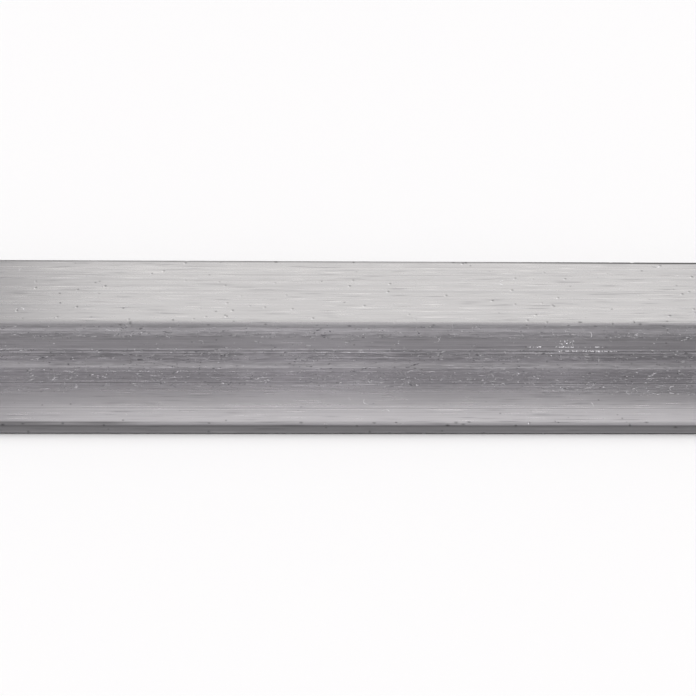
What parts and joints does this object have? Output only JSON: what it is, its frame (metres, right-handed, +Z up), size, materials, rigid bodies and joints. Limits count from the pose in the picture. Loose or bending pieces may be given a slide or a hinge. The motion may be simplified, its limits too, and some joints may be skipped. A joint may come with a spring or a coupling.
{
  "type": "aluminium extrusion profile",
  "caption": "Straight equal-flange Z-section aluminium extrusion with rounded corners, filleted roots and square sawn ends, in plain mill finish.",
  "frame": {"origin": "on the plane that the lower flange rests on, at mid-length, under the middle of the web", "axes": "+X along the bar, +Y from the lower flange's free edge towards the upper flange's free edge, +Z up from the lower flange to the upper one"},
  "size_m": [0.5, 0.028, 0.01],
  "materials": {
    "mill_finish_aluminium": "mill-finish extruded aluminium with fine lines along the bar, pick-up specks and small handling nicks"
  },
  "bodies": {
    "root": {"zee_profile": "mill_finish_aluminium"}
  },
  "joints": []
}
